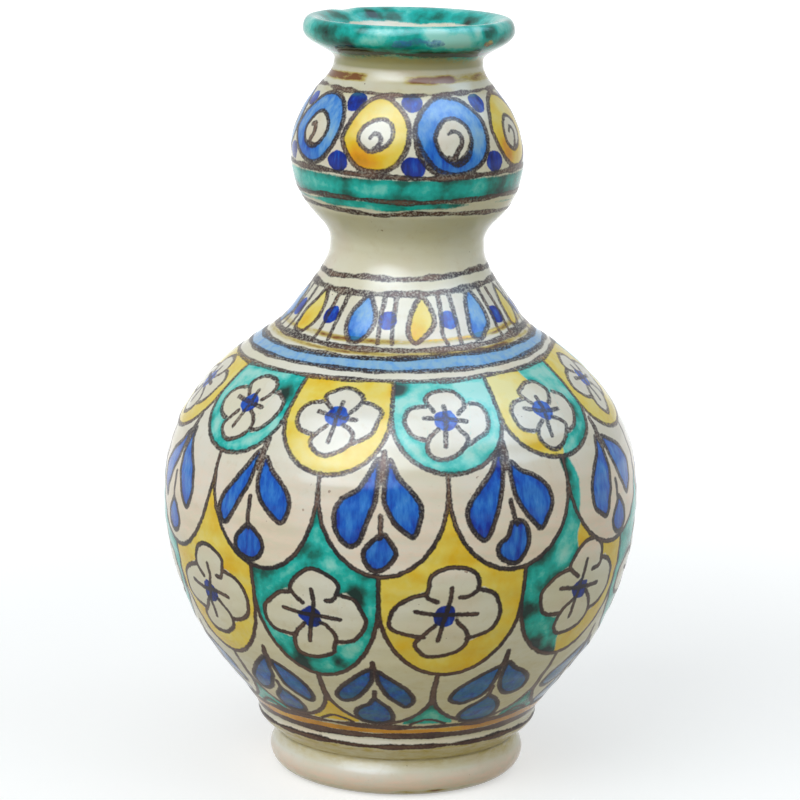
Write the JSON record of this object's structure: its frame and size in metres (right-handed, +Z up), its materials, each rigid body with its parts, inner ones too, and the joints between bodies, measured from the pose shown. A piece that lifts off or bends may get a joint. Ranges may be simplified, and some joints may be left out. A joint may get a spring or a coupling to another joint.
{
  "type": "talavera pottery vase",
  "caption": "Hand-thrown tin-glazed earthenware vase with a round belly, a bulb on the neck, a rolled flaring mouth and a foot ring, painted with scales, flowers, drops and rings",
  "frame": {"origin": "centre of the circle on which the foot ring stands", "axes": "+Z up along the axis the vase was thrown about; -Y towards the side shown in front"},
  "size_m": [0.1688, 0.1688, 0.27],
  "materials": {
    "tin_glaze": "glossy off-white tin glaze over earthenware, painted in cobalt blue, yellow, turquoise green and dark brown outlines",
    "green_glaze": "glossy mottled turquoise green glaze",
    "slip": "fired clay slip between two sections"
  },
  "bodies": {
    "root": {"foot_ring": "tin_glaze", "foot_slip": "slip", "lower_belly": "tin_glaze", "belly_slip": "slip", "upper_belly": "tin_glaze", "neck_slip": "slip", "neck_bulb": "tin_glaze", "throat_slip": "slip", "mouth_rim": "green_glaze"}
  },
  "joints": []
}
